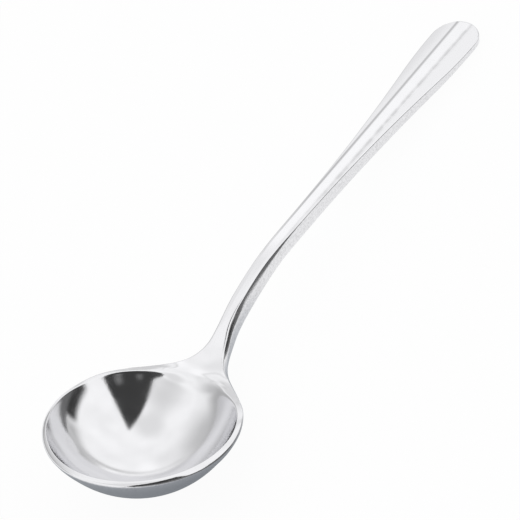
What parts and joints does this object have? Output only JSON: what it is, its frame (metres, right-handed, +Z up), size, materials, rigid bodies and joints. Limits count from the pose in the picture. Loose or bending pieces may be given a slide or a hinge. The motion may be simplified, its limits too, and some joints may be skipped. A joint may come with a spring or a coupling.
{
  "type": "coffee scoop",
  "caption": "Polished steel coffee scoop: a deep round bowl with a flat rim, a thick bent neck and a handle that widens to a round end.",
  "frame": {"origin": "bottom centre of the scoop's box as it rests on a table", "axes": "+X from the bowl towards the end of the handle, +Z up, X-Z the plane of symmetry"},
  "size_m": [0.1943, 0.05, 0.0219],
  "materials": {
    "steel": "polished stainless steel with fine polishing marks"
  },
  "bodies": {
    "root": {"scoop": "steel"}
  },
  "joints": []
}
